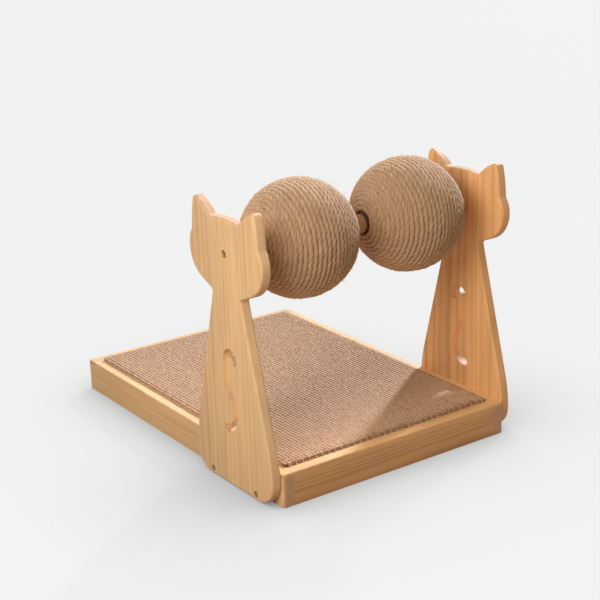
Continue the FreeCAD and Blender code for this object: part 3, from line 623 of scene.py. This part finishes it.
# %% Rope
def rope_maker():
    """Sweep a three-lobed section along a path and let it turn with the lay."""
    sizes = ("Diameter", "Lay", "Step", "Wander", "Seed")
    tree, given = new_maker("laid_rope", {size: "Float" for size in sizes})
    sweep = {
        "Curve": wound_path(tree, given),
        "Profile Curve": lobed_section(tree, given),
        "Fill Caps": True,
        "Scale": add(tree, "GeometryNodeInputRadius"),
    }
    swept = add(tree, "GeometryNodeCurveToMesh", sweep)
    # where each point lies: across the section in mm, then along the rope in mm
    section, travelled = (
        add(tree, "GeometryNodeInputNamedAttribute", {"Name": name}, data_type=kind)
        for name, kind in (("section", "FLOAT_VECTOR"), ("travelled", "FLOAT"))
    )
    across = add(tree, "ShaderNodeSeparateXYZ", {0: section}).outputs
    round_rope = add(tree, "ShaderNodeCombineXYZ", {0: across[0], 1: across[1], 2: travelled})
    mapped = add(
        tree,
        "GeometryNodeStoreNamedAttribute",
        {0: swept, "Name": "round_rope", "Value": round_rope},
        data_type="FLOAT_VECTOR",
        domain="POINT",
    )
    return close_maker(tree, mapped, rope_material)


laid_rope = rope_maker()
ropes = {}
sizes = {"Diameter": ROPE, "Lay": 0.023, "Step": 0.0015, "Wander": 0.0022}
for number, (ball, path) in enumerate(paths.items()):
    rope = run_maker(laid_rope, path, f"{ball}_wound_rope", {**sizes, "Seed": float(number)})
    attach(rope, f"{ball}_ball")
    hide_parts(f"{ball}_ball_rope")
    ropes[ball] = rope

# %% [markdown]
# ## Woven mat
#
# The scratch mat is a sisal carpet: ribs 4.1 mm apart run from front to back, and each rib is a
# row of thick loops 5 mm apart, set about a quarter of a loop on from its neighbours. A flat
# backing with rounded edges carries them, and the outermost loops are folded down over its sides.
# The loops are one small bead shape, set out by a tree on a grid, each with its own tone.

# %% Mat sizes
mat_low, mat_high = (Vector(corner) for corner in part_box("scratch_mat"))
MAT_WIDTH = mat_high.x - mat_low.x
MAT_LENGTH = mat_high.y - mat_low.y
RIB = 0.0041
LOOP = 0.005
LOOP_HEIGHT = 0.0017
ribs = int(MAT_WIDTH / RIB) + 3
loops = int(MAT_LENGTH / LOOP) + 2
mat_centre = (mat_low + mat_high) / 2
backing_top = mat_high.z - LOOP_HEIGHT * 0.55  # the loops are sunk into the backing to their middle
print(f"{ribs} ribs of {loops} loops on {MAT_WIDTH:.3f} by {MAT_LENGTH:.3f} m")


# %% Mat materials
def sisal_weave():
    """Spun sisal yarn: matt, brown straw, each loop a little different, fibres along the rib."""
    material, tree, shader = new_material("sisal, woven carpet")
    loop_tone = add(tree, "ShaderNodeAttribute", attribute_name="tone").outputs["Fac"]
    where = add(tree, "ShaderNodeTexCoord").outputs["Object"]
    # fibres 0.4 mm wide and 4 mm long
    at = add(tree, "ShaderNodeMapping", {"Vector": where, "Scale": (2500, 250, 2500)})
    fibre = add(tree, "ShaderNodeTexNoise", {"Vector": at, "Scale": 1, "Detail": 2})
    mixed = add(tree, "ShaderNodeMix", {0: 0.25, 2: fibre, 3: loop_tone}, data_type="FLOAT")
    stops = [(0.25, "#C8A485"), (0.5, "#D2B194"), (0.75, "#DCBEA3")]
    straw = add(tree, "ShaderNodeValToRGB", {0: mixed}, stops)
    bump = add(tree, "ShaderNodeBump", {"Strength": 0.3, "Distance": 0.0003, "Height": fibre})
    join(tree, shader, {"Base Color": straw, "Normal": bump, "Roughness": 0.95})
    # loose yarn scatters light inside it and hardly shines
    join(tree, shader, {"IOR": 1.5, "Specular IOR Level": 0.1})
    return material


def latex_backing():
    """Brown latex pressed into the back of the weave: dull, darker than the yarn as painted shade.
    """
    material, tree, shader = new_material("latex, brushed backing")
    where = add(tree, "ShaderNodeTexCoord").outputs["Object"]
    # blotches about 3 mm across
    blotch = add(tree, "ShaderNodeTexNoise", {"Vector": where, "Scale": 1 / 0.003, "Detail": 3})
    # painted shade: the latex gets the yarn's tone in shade, seen between the ribs and at the sides
    latex_and_painted_shade = add(tree, "ShaderNodeValToRGB", {0: blotch}, [(0.3, "#966E4C"), (0.7, "#AA825E")])
    join(tree, shader, {"Base Color": latex_and_painted_shade, "Roughness": 0.8, "IOR": 1.52})
    return material


weave_material = sisal_weave()
backing_material = latex_backing()
print("mat:", weave_material.name, "on", backing_material.name)

# %% Mat backing
MAT_CORNER = 0.006
MAT_EDGE = 0.0008
MAT_INSET = 0.0005  # the backing stops this far inside the mat's outline


def fixed_mesh(name, bm):
    """A plain mesh with its points and faces in a fixed order, the same one in every run."""
    points = sorted(bm.verts, key=lambda v: [round(c, 7) for c in v.co])
    number = {v: n for n, v in enumerate(points)}
    faces = []
    for face in bm.faces:
        loop = [number[v] for v in face.verts]
        first = loop.index(min(loop))
        faces.append(loop[first:] + loop[:first])
    mesh = bpy.data.meshes.new(name)
    mesh.from_pydata([v.co[:] for v in points], [], sorted(faces))
    bm.free()
    return mesh


def mat_backing():
    """A thin closed slab with rounded edges, divided so that it bends like cloth in a viewer."""
    bm = bmesh.new()
    bmesh.ops.create_grid(bm, x_segments=13, y_segments=19, size=0.5)
    flat = (MAT_WIDTH - 2 * MAT_INSET, MAT_LENGTH - 2 * MAT_INSET, 1)
    bmesh.ops.scale(bm, vec=flat, verts=bm.verts)
    top = bmesh.ops.extrude_face_region(bm, geom=bm.faces[:])
    lifted = [v for v in top["geom"] if isinstance(v, bmesh.types.BMVert)]
    bmesh.ops.translate(bm, vec=(0, 0, backing_top - mat_low.z), verts=lifted)
    bmesh.ops.recalc_face_normals(bm, faces=bm.faces)
    sharp = [e for e in bm.edges if e.calc_face_angle(0) > 1]
    upright = [e for e in sharp if abs(e.verts[0].co.z - e.verts[1].co.z) > 0.001]
    round_off = {"profile": 0.5, "affect": "EDGES"}
    bmesh.ops.bevel(bm, geom=upright, offset=MAT_CORNER, segments=6, **round_off)
    sharp = [e for e in bm.edges if e.calc_face_angle(0) > 1]
    bmesh.ops.bevel(bm, geom=sharp, offset=MAT_EDGE, segments=2, **round_off)
    bmesh.ops.translate(bm, vec=(mat_centre.x, mat_centre.y, mat_low.z), verts=bm.verts)
    mesh = fixed_mesh("mat_backing", bm)
    mesh.materials.append(backing_material)
    piece = bpy.data.objects.new("mat_backing", mesh)
    scene.collection.objects.link(piece)
    return piece


backing = mat_backing()
print("backing:", [round(d, 4) for d in backing.dimensions])


# %% One loop
def template(name, bm):
    """A small shape that a tree copies; it is removed when the copies are made."""
    bmesh.ops.recalc_face_normals(bm, faces=bm.faces)
    shape = bpy.data.objects.new(name, fixed_mesh(name, bm))
    scene.collection.objects.link(shape)
    print(f"{name}: {len(shape.data.polygons)} faces")
    return shape


def loop_bead():
    """One loop of the weave: a long low bead that overlaps the next one in its rib."""
    bm = bmesh.new()
    bmesh.ops.create_uvsphere(bm, u_segments=6, v_segments=4, radius=0.5)
    bmesh.ops.rotate(bm, matrix=Matrix.Rotation(math.pi / 2, 3, "X"), verts=bm.verts)
    bmesh.ops.scale(bm, vec=(RIB * 0.97, LOOP * 1.6, LOOP_HEIGHT), verts=bm.verts)
    return template("loop_bead", bm)


bead = loop_bead()

# %% Folded edges
FOLD_DROP = 0.0022
# where the drop starts and where the outermost row is held, in rows from the grid's end
FOLD_TOP, FOLD_HOLD = -1.3, -0.7
CORNER_DROP = 0.0025  # only a corner's loops would drop by more, over both sides, and are left out


def folded_edges(tree, given, spans):
    """How far the outermost rows are pulled in and dropped over the edge, and which are corners."""
    place = add(tree, "GeometryNodeInputPosition")
    place = add(tree, "ShaderNodeSeparateXYZ", {0: place}).outputs
    pulls, drops = [], []
    for at, span, pitch in zip(place, spans, (given["Rib pitch"], given["Loop pitch"])):
        end = add(tree, "ShaderNodeMath", {0: span, 1: 0.5}, operation="MULTIPLY")
        hold, top = (
            add(tree, "ShaderNodeMath", {0: pitch, 1: rows, 2: end}, operation="MULTIPLY_ADD")
            for rows in (FOLD_HOLD, FOLD_TOP)
        )
        back = add(tree, "ShaderNodeMath", {0: hold, 1: -1}, operation="MULTIPLY")
        held = add(tree, "ShaderNodeClamp", {0: at, 1: back, 2: hold})
        pulls.append(add(tree, "ShaderNodeMath", {0: held, 1: at}, operation="SUBTRACT"))
        away = add(tree, "ShaderNodeMath", {0: at}, operation="ABSOLUTE")
        fall = {0: away, 1: top, 2: end, 3: 0, 4: -FOLD_DROP}
        drops.append(add(tree, "ShaderNodeMapRange", fall))
    drop = add(tree, "ShaderNodeMath", dict(enumerate(drops)), operation="MINIMUM")
    both = add(tree, "ShaderNodeMath", dict(enumerate(drops)))
    corner = add(tree, "ShaderNodeMath", {0: both, 1: -CORNER_DROP}, operation="LESS_THAN")
    return pulls, drop, corner


print(f"outer rows folded down by {1000 * FOLD_DROP} mm")

# %% Mat weave
STAGGER = 0.24  # how far a rib's loops are set on from the next rib's, in loops
# least and greatest chance shift in metres, lean in radians and size of a loop
JITTER = ((-0.0001, -0.0003, -0.0002), (0.0001, 0.0003, 0.0001))
LEAN = ((-0.05, -0.1, -0.08), (0.05, 0.1, 0.08))
SWELL = ((0.95, 0.94, 0.92), (1.04, 1.05, 1.06))


def weave_maker():
    """Beads on a grid, every other rib set on, with the outer rows folded over the edges."""
    sizes = {"Loop": "Object", "Rib pitch": "Float", "Loop pitch": "Float"}
    sizes |= {"Ribs": "Int", "Loops": "Int", "Centre": "Vector", "Seed": "Int"}
    tree, given = new_maker("loop_weave", sizes)
    spans = []
    for count, pitch in (("Ribs", "Rib pitch"), ("Loops", "Loop pitch")):
        gaps = add(tree, "ShaderNodeMath", {0: given[count], 1: 1}, operation="SUBTRACT")
        spans.append(add(tree, "ShaderNodeMath", {0: gaps, 1: given[pitch]}, operation="MULTIPLY"))
    grid = {"Size X": spans[0], "Size Y": spans[1]}
    grid |= {"Vertices X": given["Ribs"], "Vertices Y": given["Loops"]}
    grid = add(tree, "GeometryNodeMeshGrid", grid)
    number = add(tree, "GeometryNodeInputIndex")
    rib = add(tree, "ShaderNodeMath", {0: number, 1: given["Loops"]}, operation="DIVIDE")
    rib = add(tree, "ShaderNodeMath", {0: rib}, operation="FLOOR")
    odd = add(tree, "ShaderNodeMath", {0: rib, 1: 2}, operation="MODULO")
    share = {0: odd, 1: -STAGGER, 2: STAGGER / 2}
    share = add(tree, "ShaderNodeMath", share, operation="MULTIPLY_ADD")
    step = add(tree, "ShaderNodeMath", {0: share, 1: given["Loop pitch"]}, operation="MULTIPLY")
    jitter, lean, swell = (
        add(
            tree,
            "FunctionNodeRandomValue",
            {"Min": least, "Max": most, "Seed": given["Seed"]},
            data_type="FLOAT_VECTOR",
        )
        for least, most in (JITTER, LEAN, SWELL)
    )
    pulls, drop, corner = folded_edges(tree, given, spans)
    along = add(tree, "ShaderNodeMath", {0: step, 1: pulls[1]})
    shift = add(tree, "ShaderNodeCombineXYZ", {0: pulls[0], 1: along, 2: drop})
    moved = add(tree, "ShaderNodeVectorMath", {0: shift, 1: jitter})
    centred = add(tree, "ShaderNodeVectorMath", {0: moved, 1: given["Centre"]})
    kept = add(tree, "GeometryNodeDeleteGeometry", {0: grid, "Selection": corner})
    spots = add(tree, "GeometryNodeSetPosition", {0: kept, "Offset": centred})
    loop = add(tree, "GeometryNodeObjectInfo", {"Object": given["Loop"]}).outputs["Geometry"]
    copies = {"Points": spots, "Instance": loop, "Rotation": lean, "Scale": swell}
    beads = add(tree, "GeometryNodeInstanceOnPoints", copies)
    luck = add(tree, "FunctionNodeRandomValue", {"Seed": given["Seed"]}, data_type="FLOAT")
    toned = {0: beads, "Name": "tone", "Value": luck.outputs[1]}
    toned = add(
        tree, "GeometryNodeStoreNamedAttribute", toned, data_type="FLOAT", domain="INSTANCE"
    )
    return close_maker(tree, toned, weave_material)


sizes = {
    "Loop": bead, "Rib pitch": RIB, "Loop pitch": LOOP, "Ribs": ribs, "Loops": loops, "Seed": 7,
    "Centre": (mat_centre.x, mat_centre.y, backing_top),
}
weave = run_maker(weave_maker(), bpy.data.meshes.new("empty"), "mat_weave", sizes)
bpy.data.objects.remove(bead)
for piece in (backing, weave):
    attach(piece, "frame")
    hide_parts("scratch_mat")

# %% [markdown]
# ## Screws
#
# Two countersunk screws hold each panel to the tray's rail, and one sits at the bottom of a bore
# and clamps the axle. They are yellow-zinc plated, with a cross recess. One screw is turned from a
# half outline, its recess is cut into the head, and a tree sets copies of it in the panels, each
# turned by chance as a driver leaves it.


# %% Screw steel
def plated_steel():
    """Steel with yellow zinc: a dull brassy metal, cloudy in tone and gloss."""
    material, tree, shader = new_material("steel, yellow zinc plated")
    where = add(tree, "ShaderNodeTexCoord").outputs["Object"]
    # clouds about 1.5 mm across
    cloud = add(tree, "ShaderNodeTexNoise", {"Vector": where, "Scale": 1 / 0.0015, "Detail": 2})
    tone = add(tree, "ShaderNodeValToRGB", {0: cloud}, [(0.3, "#8A6A3C"), (0.7, "#B8955C")])
    rough = add(tree, "ShaderNodeMapRange", {0: cloud, 1: 0.3, 2: 0.7, 3: 0.32, 4: 0.48})
    join(tree, shader, {"Base Color": tone, "Roughness": rough, "Metallic": 1})
    return material


screw_steel = plated_steel()
print("screws:", screw_steel.name)

# %% Screw shapes
SIDES = 24


def screw(name, outline, recess):
    """A screw along -Z with its head's top at z 0, from (radius, z) pairs that start at its rim."""
    bm = bmesh.new()
    turns = [2 * math.pi * k / SIDES for k in range(SIDES)]
    rings = []
    for radius, z in outline:
        rim = [(radius * math.cos(a), radius * math.sin(a), z) for a in turns]
        rings.append([bm.verts.new(point) for point in rim])
    for upper, lower in zip(rings, rings[1:]):
        for k in range(SIDES):
            bm.faces.new((upper[k], upper[k - 1], lower[k - 1], lower[k]))
    bm.faces.new(rings[-1])
    # the cross: twelve corners, sunk and drawn together
    w, r = recess * 0.3, recess
    corners = [(r, w), (w, w), (w, r), (-w, r), (-w, w), (-r, w)]
    corners += [(-x, -y) for x, y in corners]
    top = rings[0][0].co.z
    mouth = [bm.verts.new((x, y, top)) for x, y in corners]
    bed = [bm.verts.new((x * 0.6, y * 0.6, top - recess * 0.7)) for x, y in corners]
    for k in range(len(corners)):
        bm.faces.new((mouth[k], mouth[k - 1], bed[k - 1], bed[k]))
    bm.faces.new(bed)
    pairs = [(loop[k], loop[k - 1]) for loop in (rings[0], mouth) for k in range(len(loop))]
    edges = [bm.edges.get(pair) or bm.edges.new(pair) for pair in pairs]
    bmesh.ops.triangle_fill(bm, use_beauty=True, edges=edges)
    return template(name, bm)


foot_low, foot_high = (Vector(corner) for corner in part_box("left_foot_screws"))
axle_low, axle_high = (Vector(corner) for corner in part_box("left_axle_screw"))
foot_head = (foot_high.z - foot_low.z) / 2
foot_length = foot_high.x - foot_low.x
axle_head = (axle_high.z - axle_low.z) / 2
axle_length = axle_high.x - axle_low.x
foot_outline = [
    (foot_head - 0.0002, 0), (foot_head, -0.0003), (0.0019, -0.0024), (0.0017, -0.004),
    (0.0017, -foot_length + 0.004), (0.0003, -foot_length),
]
axle_outline = [
    (axle_head - 0.0011, 0), (axle_head - 0.0003, -0.0006), (axle_head, -0.0014),
    (axle_head, -0.0024), (0.0019, -0.0024), (0.0019, -axle_length + 0.004), (0.0003, -axle_length),
]
foot_screw = screw("foot_screw", foot_outline, 0.0021)
axle_screw = screw("axle_screw", axle_outline, 0.0023)


# %% Set the screws
def screw_maker():
    """Copies of a screw at points, facing a side, each with a chance turn about its own axis."""
    tree, given = new_maker("set_screws", {"Screw": "Object", "Facing": "Vector", "Seed": "Int"})
    points = add(tree, "GeometryNodeMeshToPoints", {0: given["Geometry"]})
    shape = add(tree, "GeometryNodeObjectInfo", {"Object": given["Screw"]}).outputs["Geometry"]
    copies = {"Points": points, "Instance": shape, "Rotation": given["Facing"]}
    placed = add(tree, "GeometryNodeInstanceOnPoints", copies)
    turns = {"Min": (0, 0, 0), "Max": (0, 0, math.pi / 2), "Seed": given["Seed"]}
    chance = add(tree, "FunctionNodeRandomValue", turns, data_type="FLOAT_VECTOR")
    turned = add(tree, "GeometryNodeRotateInstances", {0: placed, "Rotation": chance})
    return close_maker(tree, turned, screw_steel)


set_screws = screw_maker()
for side, facing in (("left", -1), ("right", 1)):
    for kind, shape in (("foot_screws", foot_screw), ("axle_screw", axle_screw)):
        low, high = (Vector(corner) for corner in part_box(f"{side}_{kind}"))
        head = (high.z - low.z) / 2
        x = low.x if facing < 0 else high.x
        across = (low.y + head, high.y - head) if kind == "foot_screws" else ((low.y + high.y) / 2,)
        spots = bpy.data.meshes.new("spots")
        spots.from_pydata([(x, y, (low.z + high.z) / 2) for y in across], [], [])
        sizes = {"Screw": shape, "Facing": (0, facing * math.pi / 2, 0), "Seed": 3 + facing}
        piece = run_maker(set_screws, spots, f"{side}_{kind}_plated", sizes)
        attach(piece, "frame")
        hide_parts(f"{side}_{kind}")
for shape in (foot_screw, axle_screw):
    bpy.data.objects.remove(shape)

# %% [markdown]
# ## Loose fibres
#
# Sisal rope sheds: short stiff fibres stand off it everywhere, and a few long ones curl away. They
# break the balls' clean outline. A tree scatters one bent hair over the rope and lays most of the
# hairs nearly flat.


# %% Fibre material
def pale_fibre():
    """A single dry sisal fibre: pale straw, slightly shiny along its length."""
    material, tree, shader = new_material("sisal, single fibres")
    where = add(tree, "ShaderNodeTexCoord").outputs["Object"]
    # each fibre's tone comes from its place, in patches of 3 mm
    patch = add(tree, "ShaderNodeTexNoise", {"Vector": where, "Scale": 1 / 0.003, "Detail": 0})
    straw = add(tree, "ShaderNodeValToRGB", {0: patch}, [(0.35, "#C79B6C"), (0.65, "#EAD2AE")])
    join(tree, shader, {"Base Color": straw, "Roughness": 0.6, "IOR": 1.5})
    return material


fibre_material = pale_fibre()
print("fibres:", fibre_material.name)

# %% One hair
HAIR_STEPS, HAIR_SIDES = 4, 3
HAIR_RADIUS = 0.00012


def bent_hair():
    """One fibre 7 mm long, three-sided and tapered, that starts along +Z and bends over."""
    bm = bmesh.new()
    turns = [2 * math.pi * k / HAIR_SIDES for k in range(HAIR_SIDES)]
    rings = []
    for t in (step / HAIR_STEPS for step in range(HAIR_STEPS + 1)):
        thick = HAIR_RADIUS * (1 - 0.7 * t)
        centre = Vector((0.0035 * t * t, 0, 0.008 * t - 0.002 * t * t))
        rim = [Vector((thick * math.cos(a), thick * math.sin(a), 0)) for a in turns]
        rings.append([bm.verts.new(centre + point) for point in rim])
    for lower, upper in zip(rings, rings[1:]):
        for k in range(HAIR_SIDES):
            bm.faces.new((lower[k - 1], lower[k], upper[k], upper[k - 1]))
    bm.faces.new(rings[0])
    bm.faces.new(rings[-1])
    return template("bent_hair", bm)


hair = bent_hair()


# %% Scatter the fibres
def fibre_maker():
    """Hairs scattered over a surface, leaning far over, of many lengths."""
    sizes = {"Hair": "Object", "Per square metre": "Float", "Seed": "Int"}
    tree, given = new_maker("loose_fibres", sizes)
    seed = given["Seed"]
    spread = {"Mesh": given["Geometry"], "Density": given["Per square metre"], "Seed": seed}
    roots = add(tree, "GeometryNodeDistributePointsOnFaces", spread).outputs
    shape = add(tree, "GeometryNodeObjectInfo", {"Object": given["Hair"]}).outputs["Geometry"]
    # most are short: a chance between 0 and 1 to the fourth power gives few long ones
    luck = add(tree, "FunctionNodeRandomValue", {2: 0.0, 3: 1.0, "Seed": seed}, data_type="FLOAT")
    few = add(tree, "ShaderNodeMath", {0: luck.outputs[1], 1: 4}, operation="POWER")
    size = add(tree, "ShaderNodeMath", {0: few, 1: 1.15, 2: 0.35}, operation="MULTIPLY_ADD")
    copies = {"Points": roots["Points"], "Instance": shape, "Rotation": roots["Rotation"]}
    hairs = add(tree, "GeometryNodeInstanceOnPoints", {**copies, "Scale": size})
    tilts = {"Min": (-1.25, -1.25, 0), "Max": (1.25, 1.25, 6.28), "Seed": seed}
    lean = add(tree, "FunctionNodeRandomValue", tilts, data_type="FLOAT_VECTOR")
    leaning = add(tree, "GeometryNodeRotateInstances", {0: hairs, "Rotation": lean})
    return close_maker(tree, leaning, fibre_material)


loose_fibres = fibre_maker()
for number, (ball, rope) in enumerate(ropes.items()):
    sizes = {"Hair": hair, "Per square metre": 12000.0, "Seed": 11 + number}
    fibres = run_maker(loose_fibres, rope.data, f"{ball}_rope_fibres", sizes)
    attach(fibres, f"{ball}_ball")
bpy.data.objects.remove(hair)
